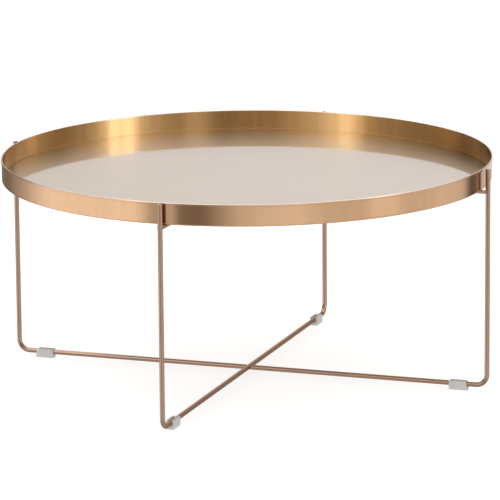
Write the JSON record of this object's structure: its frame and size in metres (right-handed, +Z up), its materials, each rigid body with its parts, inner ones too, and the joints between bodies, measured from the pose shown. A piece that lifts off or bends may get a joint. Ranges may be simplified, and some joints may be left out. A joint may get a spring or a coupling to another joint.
{
  "type": "round tray table",
  "caption": "Low round table: a shallow brushed brass tray resting on two crossed U-shaped copper rod leg frames with plastic floor glides.",
  "frame": {"origin": "on the floor, under the middle of the tray", "axes": "+Z up, +X along the lower leg frame, +Y along the upper leg frame"},
  "size_m": [0.832, 0.832, 0.371],
  "materials": {
    "brushed_brass": "brushed around the rim, lacquered",
    "satin_brass": "satin, lacquered",
    "copper_rod": "copper plated, satin",
    "screw_steel": "plain",
    "black_rubber": "matt",
    "frosted_plastic": "frosted"
  },
  "bodies": {
    "stand": {"leg_frame_lower": "copper_rod", "leg_frame_upper": "copper_rod", "crossing_screw": "screw_steel", "tray_arm_right": "copper_rod", "tray_arm_back": "copper_rod", "tray_arm_left": "copper_rod", "tray_arm_front": "copper_rod", "arm_pad_right": "black_rubber", "arm_pad_back": "black_rubber", "arm_pad_left": "black_rubber", "arm_pad_front": "black_rubber", "floor_glide_right": "frosted_plastic", "floor_glide_back": "frosted_plastic", "floor_glide_left": "frosted_plastic", "floor_glide_front": "frosted_plastic"},
    "tray": {"tray_rim": "brushed_brass", "tray_floor": "satin_brass"}
  },
  "joints": [
    {"name": "tray_lift", "type": "slide", "parent": "stand", "child": "tray", "axis": [0, 0, 1], "range_m": [0, 0.08]}
  ]
}
